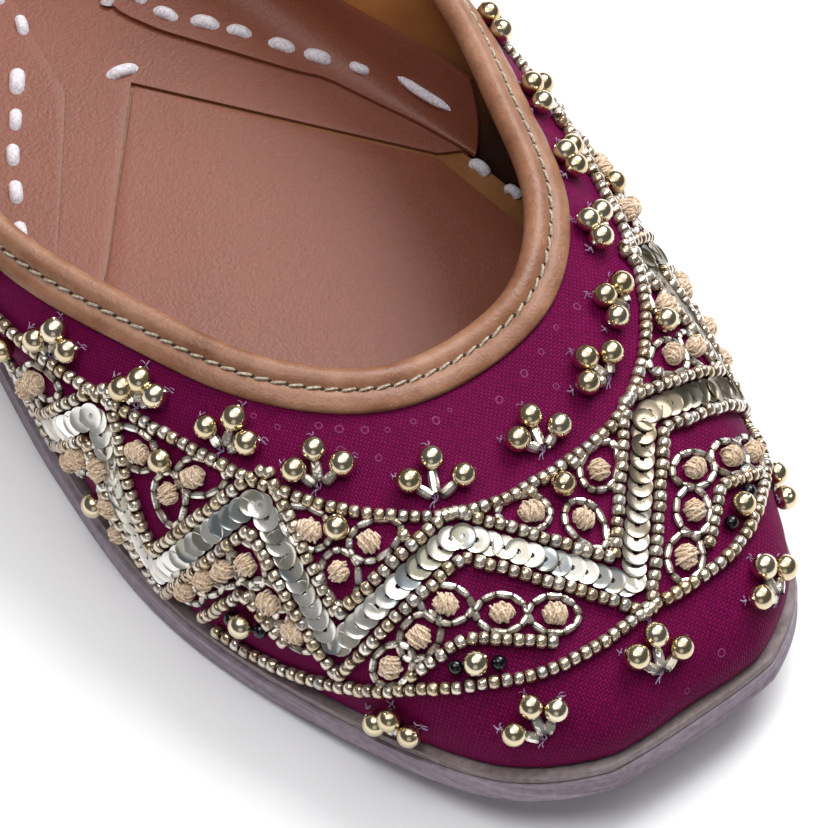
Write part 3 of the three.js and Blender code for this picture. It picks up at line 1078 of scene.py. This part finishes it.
def tube(centre, radius, sides):
    """Points of a closed-ended tube round a line, as rings, and its faces."""
    run = unit(np.gradient(centre, axis=0))
    across = unit(np.cross(run, np.array((0.31, 0.17, 0.93))))
    over = np.cross(run, across)
    angle = np.linspace(0, 2 * math.pi, sides, endpoint=False)
    rings = (centre[:, None] + radius * (across[:, None] * np.cos(angle)[None, :, None]
                                         + over[:, None] * np.sin(angle)[None, :, None]))
    points = np.vstack([rings.reshape(-1, 3), centre[:1], centre[-1:]])
    faces = []
    count = len(centre)
    for i in range(count - 1):
        for j in range(sides):
            k = (j + 1) % sides
            faces.append((i * sides + j, i * sides + k, (i + 1) * sides + k, (i + 1) * sides + j))
    for j in range(sides):
        k = (j + 1) % sides
        faces.append((count * sides, k, j))
        last = (count - 1) * sides
        faces.append((count * sides + 1, last + j, last + k))
    return points, faces


def thread_knot(seed):
    """A knot of soft thread wound over and over itself, about 3.5 mm across."""
    chance = random.Random(seed)
    nothing_selected()
    bpy.ops.mesh.primitive_uv_sphere_add(segments=12, ring_count=8, radius=MM)
    core, faces = master_shape(newly("knot_core"))
    core = core * (1.42, 1.3, 1.05)
    parts = [(core, faces)]
    for tilt, turns, size in ((0.1, 9.5, 0.96), (0.6, 5.5, 1.06)):
        t = np.linspace(0.1, 0.9, int(turns * 12))
        polar = t * math.pi + 0.10 * np.sin(t * 23 + chance.random() * 6)
        angle = t * turns * 2 * math.pi + chance.random() * 6
        wobble = 1 + 0.1 * np.sin(angle * 0.41 + chance.random() * 6)
        line = np.column_stack([
            1.4 * np.cos(polar), 1.42 * np.sin(polar) * np.cos(angle) * wobble,
            1.2 * np.sin(polar) * np.sin(angle) * wobble]) * size
        turn = tilt + chance.uniform(-0.25, 0.25)
        cos, sin = math.cos(turn), math.sin(turn)
        spin = np.array(((cos, -sin, 0), (sin, cos, 0), (0, 0, 1)))
        parts.append(tube(line @ spin.T, 0.16, 5))
    return merged_shapes(parts)


def merged_shapes(parts):
    """Several shapes as one."""
    verts, faces, count = [], [], 0
    for shape, loops in parts:
        verts.append(shape)
        faces.extend(tuple(v + count for v in loop) for loop in loops)
        count += len(shape)
    return np.vstack(verts), faces


def stitch_shape(length, radius, sink, sides=7, steps=9):
    """A stitch along x whose ends dip into their holes."""
    x = np.linspace(-length / 2, length / 2, steps)
    t = np.abs(x) / (length / 2)
    centre = np.column_stack([x, np.zeros(steps), -sink * t**3])
    return tube(centre, radius, sides)


# ---------------------------------------------------------------- the beadwork


def ringed(cloth, centre, towards, front, back, half, pieces):
    """Cut beads laid end to end in a pointed ring round a knot."""
    knot, _, run, side = cloth.bearings(centre, towards)
    angle = np.linspace(0, 2 * math.pi, pieces + 1) + CHANCE.uniform(-0.12, 0.12)
    x = np.where(np.cos(angle) > 0, front, back) * np.cos(angle)
    y = half * np.sign(np.sin(angle)) * np.abs(np.sin(angle)) ** 1.2
    line = knot + x[:, None] * run + y[:, None] * side
    line, normal = cloth.settle(line)
    middle = (line[:-1] + line[1:]) / 2
    span = line[1:] - line[:-1]
    length = np.linalg.norm(span, axis=1)
    girth = np.full(pieces, RING_GIRTH)
    size = np.column_stack([length * 0.93, girth, girth])
    return middle + normal[:-1] * RING_LIFT, span, normal[:-1], size


def knots_and_rings(cloth):
    """Places of every thread knot, and of the cut beads that ring them."""
    knots, rings = [], []
    for chain in CHAINS:
        for i, centre in enumerate(chain):
            other = chain[i + 1] if i + 1 < len(chain) else chain[i - 1]
            knots.append((centre, other))
            rings.append(ringed(cloth, centre, other, *CHAIN_RING))
    for centre, tip in LONE_KNOTS:
        knots.append((centre, tip))
        rings.append(ringed(cloth, centre, tip, *LONE_RING))
    places = []
    for centre, other in knots:
        at, up = cloth.settle(skin(*centre)[None])
        ahead, _ = cloth.settle(skin(*other)[None])
        size = np.array(((CHANCE.uniform(0.92, 1.14), CHANCE.uniform(0.9, 1.04), 1.0),))
        places.append((at + up * KNOT_LIFT, ahead - at + RNG.normal(0, 0.8, (1, 3)), up, size))
    return gathered(places), gathered(rings)


def trio_places(cloth):
    """Gold balls, bugle stems and thread ends of every trio."""
    bases = list(THROAT_TRIOS) + list(TOE_TRIOS)
    bases += [(side * around, 12.2, 0, 0.92) for around, sides in SIDE_TRIOS for side in sides]
    balls, stems, tufts = [], [], []
    for around, depth, tilt, spread in bases:
        base, up, run, side = cloth.bearings((around, depth), (around, depth - 4))
        lean = math.radians(tilt + CHANCE.uniform(-5, 5))
        for fan, reach in FAN:
            angle = fan + lean + CHANCE.uniform(-0.1, 0.1)
            reach = reach * spread + CHANCE.uniform(-0.2, 0.2)
            way = math.cos(angle) * run + math.sin(angle) * side
            place, normal = cloth.settle((base + way * reach)[None])
            size = np.full((1, 3), CHANCE.uniform(0.96, 1.05))
            balls.append((place + normal * BALL_LIFT, normal, way[None], size))
            long = max(reach - 2.2, 1.4)
            foot, foot_up = cloth.settle((base + way * (0.85 + long / 2))[None])
            thick = np.array(((long, STEM_GIRTH, STEM_GIRTH),))
            stems.append((foot + foot_up * 0.8, way[None] + foot_up * 0.16, foot_up, thick))
            end, end_up = cloth.settle((base + way * (reach + 1.75))[None])
            small = np.full((1, 3), CHANCE.uniform(0.6, 0.9))
            tufts.append((end + end_up * 0.15, way[None], end_up, small))
        tufts.append(((base + up * 0.2)[None], run[None], up[None], np.full((1, 3), 1.2)))
    for around, depth in GOLD_AMONG:
        place, normal = cloth.settle(skin(around, depth)[None])
        turn = unit(RNG.normal(0, 1, (1, 3)))
        balls.append((place + normal * BALL_LIFT, normal, turn, np.ones((1, 3))))
    return gathered(balls), gathered(stems), gathered(tufts)


def sequin_places(cloth):
    """Sequins along the zigzag, each lapped over the one nearer the valley."""
    made = []
    for side in (-1, 1):
        turns = zigzag_turns(side)
        for start, end in zip(turns[:-1], turns[1:]):
            rising = end[1] < start[1]
            line = chord(start, end) if rising else chord(end, start)
            at, along, up = cloth.row(line, SEQUIN_PITCH)
            count = len(at)
            tilt = unit(up + along * 0.14 + RNG.normal(0, 0.07, (count, 3)))
            size = np.tile(RNG.normal(1, 0.02, (count, 1)), (1, 3))
            made.append((at + up * SEQUIN_LIFT, along, tilt, size))
    return gathered(made)


def thread_tuft(seed):
    """A few short ends of clear thread, curling out of a stitch."""
    parts = []
    chance = random.Random(seed)
    for _ in range(5):
        turn = chance.uniform(-2.2, 2.2)
        curl = chance.uniform(-1.6, 1.6)
        long = chance.uniform(0.5, 1.3)
        t = np.linspace(0, 1, 6)
        line = np.column_stack([
            t * long * np.cos(turn + curl * t), t * long * np.sin(turn + curl * t),
            0.15 + chance.uniform(0.2, 0.6) * np.sin(t * 2.8)])
        parts.append(tube(line, chance.uniform(0.06, 0.11), 4))
    return merged_shapes(parts)


def chalk_ring():
    """A thin broken ring of chalk, 1.4 mm across."""
    nothing_selected()
    bpy.ops.mesh.primitive_torus_add(
        major_segments=14, minor_segments=4, major_radius=0.6 * MM, minor_radius=0.13 * MM)
    piece = newly("chalk_master")
    for vert in piece.data.vertices:
        vert.co.z *= 0.3
        turn = math.atan2(vert.co.y, vert.co.x)
        vert.co *= 1 + 0.05 * math.sin(2 * turn + 1)
    return master_shape(piece)


def bead_glass():
    """Silver-lined seed beads: bright champagne, with painted amber shade at the holes."""
    return lined_glass("silver lined glass", (
        (0.0, "#c0ac92"), (0.2, "#e6dccd"), (0.45, "#d1c1aa"), (0.62, "#ccb794"), (0.8, "#ede7dd"),
        (0.92, "#b9b1aa"), (1.0, "#b79c76")), "#7a5a3a",
        Metallic=0.74, Roughness=0.17, Coat_Weight=1.0, Coat_Roughness=0.03, IOR=1.52)


def cut_glass():
    """Silver-lined bugles: flat facets that flash one by one, and painted amber shade at the cut ends."""
    return lined_glass("silver lined cut glass", (
        (0.0, "#bdb09c"), (0.3, "#e6dfd4"), (0.6, "#d0c6b8"), (0.85, "#efebe4"), (1.0, "#b0a08a")), "#6a5845",
        Metallic=0.75, Roughness=0.18, Coat_Weight=1.0, Coat_Roughness=0.05)


def plated_brass():
    """Gold plated brass: pale champagne mirror, a little worn, under clear lacquer."""
    return toned("gold plated brass", ((0, "#d2bf97"), (0.5, "#dccfb4"), (1, "#c9b288")),
                 Metallic=1.0, Roughness=0.2, Coat_Weight=0.6, Coat_Roughness=0.05)


def cotton_floss():
    """Stranded cotton: matt peach fibres, with painted highlight on the raised fibres and painted shade in
    the hollows.
    """
    return spun_thread("stranded cotton floss", (
        (0.3, "#a98561"), (0.5, "#dcbf9f"), (0.7, "#f6eada")), 0.3,
        Roughness=0.8, Sheen_Weight=0.5, Sheen_Roughness=0.5)


def scattered(cloth, table, height):
    """Places of charted single beads, each turned by chance."""
    around, depth = np.array(table).T
    at, up = cloth.settle(skin(around, depth))
    side = np.cross(up, RNG.normal(0, 1, up.shape))
    return at + up * height, side, up, np.ones((len(at), 3))


def chalk_marks(cloth):
    """The faint rings left on the cloth from marking out."""
    around, depth = np.array(CHALK_MARKS).T
    at, up = cloth.settle(skin(around, depth))
    size = np.ones((len(at), 3)) * RNG.uniform(0.45, 0.85, (len(at), 1))
    side = np.cross(up, RNG.normal(0, 1, up.shape))
    # Marking chalk: a dry lilac bloom hardly paler than the cloth.
    chalk = spun_thread("marking chalk", ((0.3, "#700e48"), (0.7, "#853a6c")), 0.3, Roughness=0.9)
    done(copies("chalk_marks", [chalk_ring()], (at + up * 0.02, side, up, size)), chalk)


def glass_rows(cloth):
    """The seed beads and the sequins between them."""
    glass = bead_glass()
    borders, zigzag, chevrons = seed_rows(cloth)
    bead = [seed_bead()]
    spare = scattered(cloth, SPARE_SEEDS, 0.78)
    done(copies("seed_beads_border", bead, borders, 80), glass)
    done(copies("seed_beads_zigzag", bead, zigzag, 80), glass)
    done(copies("seed_beads_chevrons", bead, gathered([chevrons, spare]), 80), glass)
    done(copies("sequins", [sequin()], sequin_places(cloth), 30), sequin_film())


def motifs(cloth):
    """The ringed knots, and the trios of gold balls on their stems."""
    bugle = cut_glass()
    knots, rings = knots_and_rings(cloth)
    done(copies("thread_knots", [thread_knot(k) for k in (1, 2, 3)], knots), cotton_floss())
    done(copies("cut_bead_rings", [cut_bead()], rings, 34), bugle)
    balls, stems, tufts = trio_places(cloth)
    done(copies("gold_balls", [round_bead(BALL_RADIUS)], balls), plated_brass())
    done(copies("trio_stems", [cut_bead()], stems, 34), bugle)
    # Clear nylon thread: thin lilac-grey ends that catch the light.
    clear = spun_thread("clear nylon thread", ((0.3, "#86628c"), (0.7, "#b7a0bd")), 0.5, Roughness=0.45)
    done(copies("thread_ends", [thread_tuft(k) for k in (3, 4, 5, 6)], tufts), clear)
    # Black glass: glossy and nearly without colour.
    jet = toned("black glass", ((0, "#030306"), (1, "#06070f")), Roughness=0.12)
    at, side, up, size = scattered(cloth, BLACK_AMONG, 0.9)
    done(copies("black_beads", [round_bead(1.0, 14, 10)], (at, up, side, size), 60), jet)


def beadwork(points):
    """All the embroidery on the upper."""
    cloth = Cloth(points)
    chalk_marks(cloth)
    glass_rows(cloth)
    motifs(cloth)


# ---------------------------------------------------------------- sewing


GROOVE = 3.2
STITCH_PITCH = 2.25


def binding_stitches():
    """Grey thread stitches in the binding's groove, and dark discs between them, painted shade of the awl
    holes.
    """
    line = skin(np.linspace(-1, 1, 900), GROOVE)
    arc = run_lengths(line)
    count = int(arc[-1] / STITCH_PITCH)
    stops = (np.arange(count) + 0.5) * arc[-1] / count
    around = np.interp(stops, arc, np.linspace(-1, 1, 900))
    at = skin(around, GROOVE)
    along = skin(around + 0.002, GROOVE) - skin(around - 0.002, GROOVE)
    down = skin(around, GROOVE + 0.5) - skin(around, GROOVE - 0.5)
    up = unit(np.cross(down, along))
    up *= np.where(np.sum(up * (at - (0, 0, -60)), axis=1) < 0, -1.0, 1.0)[:, None]
    out = np.cross(up, along)
    lean = along + unit(out) * 0.22 * np.linalg.norm(along, axis=1)[:, None]
    size = np.ones((count, 3)) * RNG.normal(1, 0.03, (count, 1))
    places = (at + up * 0.74, lean, up, size)
    # Waxed linen: a hard, slightly shiny grey-beige twist.
    thread = spun_thread("waxed linen thread", ((0.3, "#786c5c"), (0.55, "#b5a994"), (0.75, "#d6cdbc")),
                         0.3, Roughness=0.5)
    # Painted shade of an awl hole: dark and quite matt.
    dark = toned("awl hole shade", ((0, "#2a1c14"), (1, "#3a281c")), Roughness=0.9)
    done(copies("binding_stitches", [stitch_shape(1.75, 0.2, 0.26)], places), thread)
    half = arc[-1] / count / 2
    around = np.interp(stops + half, arc, np.linspace(-1, 1, 900))
    hole = skin(around, GROOVE) + up * 0.5
    flat = np.tile(np.array((0.42, 0.3, 0.18)), (count, 1))
    done(copies("binding_holes", [round_bead(1.0, 8, 6)], (hole, along, up, flat)), dark)


# Long cotton stitches on the insole: x and distance from the toe at each one's middle.
LEFT_STITCHES = ((-23.8, 114.7), (-20.2, 120.6), (-16.8, 125.9), (-12.9, 130.6), (-8.8, 135.8),
                 (-2.4, 143.4))
RIGHT_STITCHES = ((31.3, 109.6), (28.2, 115.0), (25.4, 119.6), (22.0, 125.0),
                  (19.0, 129.0), (15.4, 133.4), (14, 138.6))
# Single stitches: x, distance, height above the insole, run across, run back, length, girth.
LONE_STITCHES = (
    (4.6, 129.2, 0.75, -1, 0.25, 1.2, 1), (10.9, 140.8, 0.75, 1, 1, 1, 1),
    (35.0, 99.8, 0.75, 0.4, -1, 2.5, 0.85), (35.6, 87.6, 0.4, 0.2, -1, 0.75, 0.8),
    (36.7, 81.6, 0.6, 0.2, -1, 0.75, 0.8),
)


def insole_stitches(strips):
    """White cotton stitches that hold the insole's side strips."""
    trees = []
    for strip in strips:
        data = strip.data
        corners = [v.co / MM for v in data.vertices]
        trees.append(BVHTree.FromPolygons(corners, [tuple(face.vertices) for face in data.polygons]))
    at, along = [], []
    for row in (LEFT_STITCHES, RIGHT_STITCHES):
        rows = np.array(row)
        rows = np.vstack([rows, [(rows[-1, 0], rows[-1, 1] + 6.5 * k) for k in range(1, 14)]])
        run = np.gradient(rows, axis=0)
        at.extend(rows)
        along.extend(run)
    count = len(at)
    lone = np.array(LONE_STITCHES)
    at = np.vstack([at, lone[:, :2]])
    along = np.vstack([along, lone[:, 3:5]])
    y = at[:, 1] - LENGTH / 2
    height = INSOLE_TOP + np.concatenate([np.full(count, 1.45), lone[:, 2]])
    place = np.column_stack([at[:, 0], y, spring_at(y) + height])
    way = np.column_stack([along, np.zeros(len(at))])
    up = np.tile(np.array((0, 0, 1.0)), (len(at), 1))
    for i, point in enumerate(place):
        for tree in trees:
            above = Vector((point[0], point[1], 40))
            hit, normal, _, _ = tree.ray_cast(above, Vector((0, 0, -1)))
            if hit and hit.z > point[2] - 1:
                place[i] = hit + normal * 0.1
                up[i] = normal
                way[i] -= np.dot(way[i], normal) * np.array(normal)
    size = np.ones((len(at), 3)) * RNG.normal(1, 0.07, (len(at), 1))
    size[count:, 0] *= lone[:, 5]
    size[count:, 1:] *= lone[:, 6:]
    # Soft white cotton: thick, matt and a little fuzzy.
    cotton = spun_thread("soft white cotton", ((0.3, "#b9b2b8"), (0.6, "#e4dfe6")), 0.4,
                         Roughness=0.85, Sheen_Weight=0.4, Sheen_Roughness=0.5)
    done(copies("insole_stitches", [stitch_shape(2.5, 0.95, 0.7, 10, 9)], (place, way, up, size)), cotton)


# ---------------------------------------------------------------- the room


# The camera: its bearing, height angle and roll in degrees, where it aims, how far
# back it stands, and its lens.
CAMERA_ANGLES = (-46.53, 56.15, 9.26)
CAMERA_AIM = (-4.38, -70.45, 20.0)
CAMERA_DISTANCE = 668.06
CAMERA_LENS = 221.0


def set_camera():
    """A long lens looking down on the toe and throat from the front left."""
    turn, rise, roll = (math.radians(v) for v in CAMERA_ANGLES)
    back = Vector((math.sin(turn) * math.cos(rise), -math.cos(turn) * math.cos(rise), math.sin(rise)))
    right = Vector((math.cos(turn), math.sin(turn), 0))
    up = back.cross(right)
    across = right * math.cos(roll) + up * math.sin(roll)
    over = up * math.cos(roll) - right * math.sin(roll)
    place = Vector(CAMERA_AIM) + back * CAMERA_DISTANCE
    data = bpy.data.cameras.new("camera")
    data.lens = CAMERA_LENS
    data.sensor_width = 36
    data.clip_start = 0.01
    camera = bpy.data.objects.new("camera", data)
    camera.matrix_world = Matrix((
        (across.x, over.x, back.x, place.x * MM), (across.y, over.y, back.y, place.y * MM),
        (across.z, over.z, back.z, place.z * MM), (0, 0, 0, 1)))
    bpy.context.collection.objects.link(camera)
    bpy.context.scene.camera = camera


def soft_light(name, place, size, watts, colour="#ffffff"):
    """A round soft light aimed at the shoe's front."""
    data = bpy.data.lights.new(name, "AREA")
    data.energy = watts
    data.shape = "DISK"
    data.size = size
    data.color = tint(colour)[:3]
    light = bpy.data.objects.new(name, data)
    light.location = place
    aim = Vector((0, -0.05, 0.02)) - Vector(place)
    light.rotation_euler = aim.to_track_quat("-Z", "Y").to_euler()
    bpy.context.collection.objects.link(light)


def room():
    """Pale floor, even surround and soft lights."""
    nothing_selected()
    bpy.ops.mesh.primitive_plane_add(size=3, location=(0, 0, -0.0006))
    floor = newly("floor")
    # Matt white paper: nearly pure white, so the ground takes only soft shadows.
    paper, _ = new_finish("matt white paper", Roughness=0.9, Base_Color=tint("#fcfcfd"))
    floor.data.materials.append(paper)
    world = bpy.data.worlds.new("surround")
    world.use_nodes = True
    world.node_tree.nodes["Background"].inputs[0].default_value = tint("#f2f4fa")
    world.node_tree.nodes["Background"].inputs[1].default_value = 0.13
    bpy.context.scene.world = world
    soft_light("key", (0.55, 0.2, 0.7), 0.6, 8.5)
    soft_light("overhead", (-0.3, 0.05, 0.9), 0.5, 3.0)
    soft_light("fill", (-0.5, -0.6, 0.35), 0.5, 0.35)
    soft_light("ceiling", (0.1, 0.1, 1.15), 1.5, 7.0)
    bpy.context.scene.view_settings.view_transform = "Standard"


# ---------------------------------------------------------------- putting it together


def upper_pieces():
    """The cloth, its lining and the binding; returns the cloth's grid of points."""
    cloth, points = upper_cloth()
    done(cloth, woven_cloth(), ("upper",))
    done(upper_lining(points), lining_leather())
    # Drum dyed sheep leather: tan with soft clouds, fine pores and a low sheen.
    pale = leather_like("drum dyed sheep leather", (
        (0.3, "#784c35"), (0.5, "#8f6248"), (0.7, "#a2765b")), 0.4, 0.9, 0.45, 140.0,
        Specular_IOR_Level=0.42)
    done(topline_binding(), pale, ("topline_binding",))
    return points


def sole_pieces():
    """Outsole, midsole, insole board and the leathers on it; returns the side strips."""
    # Cut sole leather, rubbed with mauve-grey dressing: streaked and quite matt.
    edge = raw_edge("cut sole leather", ((0.35, "#62555c"), (0.6, "#897b86"), (0.9, "#aa9da8")))
    done(sole_layer("sole_outer", 0, 0, 3.0, 0.5), edge, ("outsole",))
    # Undressed midsole leather: browner, with its fibres open.
    brown = raw_edge("cut midsole leather", ((0.35, "#4c3c38"), (0.6, "#7d6e6c"), (0.9, "#9c9092")))
    done(sole_layer("sole_middle", 0.5, 3.3, 4.4, 0.25), brown, ("midsole",))
    # Golden insole leather: smooth, shown only where the covers leave a gap.
    base = leather_like("golden insole leather", (
        (0.3, "#6b3f1f"), (0.5, "#82522b"), (0.7, "#946339")), 0.8, 2.0, 0.5)
    done(sole_layer("insole_base", 3.9, 4.7, 6.2, 0.2), base, ("insole",))
    # Glazed goat leather: warm brown with fine pores and a soft, patchy shine.
    glazed = leather_like("glazed goat leather", (
        (0.25, "#6f3a25"), (0.5, "#7b4330"), (0.75, "#814b3b")), 0.5, 0.8, 0.46, 26.0,
        Specular_IOR_Level=0.38)
    covers = [insole_front(), insole_back()]
    strips = [
        side_strip("insole_side_left", -1, SIDE_LEFT),
        side_strip("insole_side_right", 1, SIDE_RIGHT),
    ]
    for piece in covers + strips:
        done(piece, glazed)
    return strips


def build():
    """Makes every piece of the shoe."""
    points = upper_pieces()
    strips = sole_pieces()
    beadwork(points)
    binding_stitches()
    insole_stitches(strips)


set_camera()
build()
room()
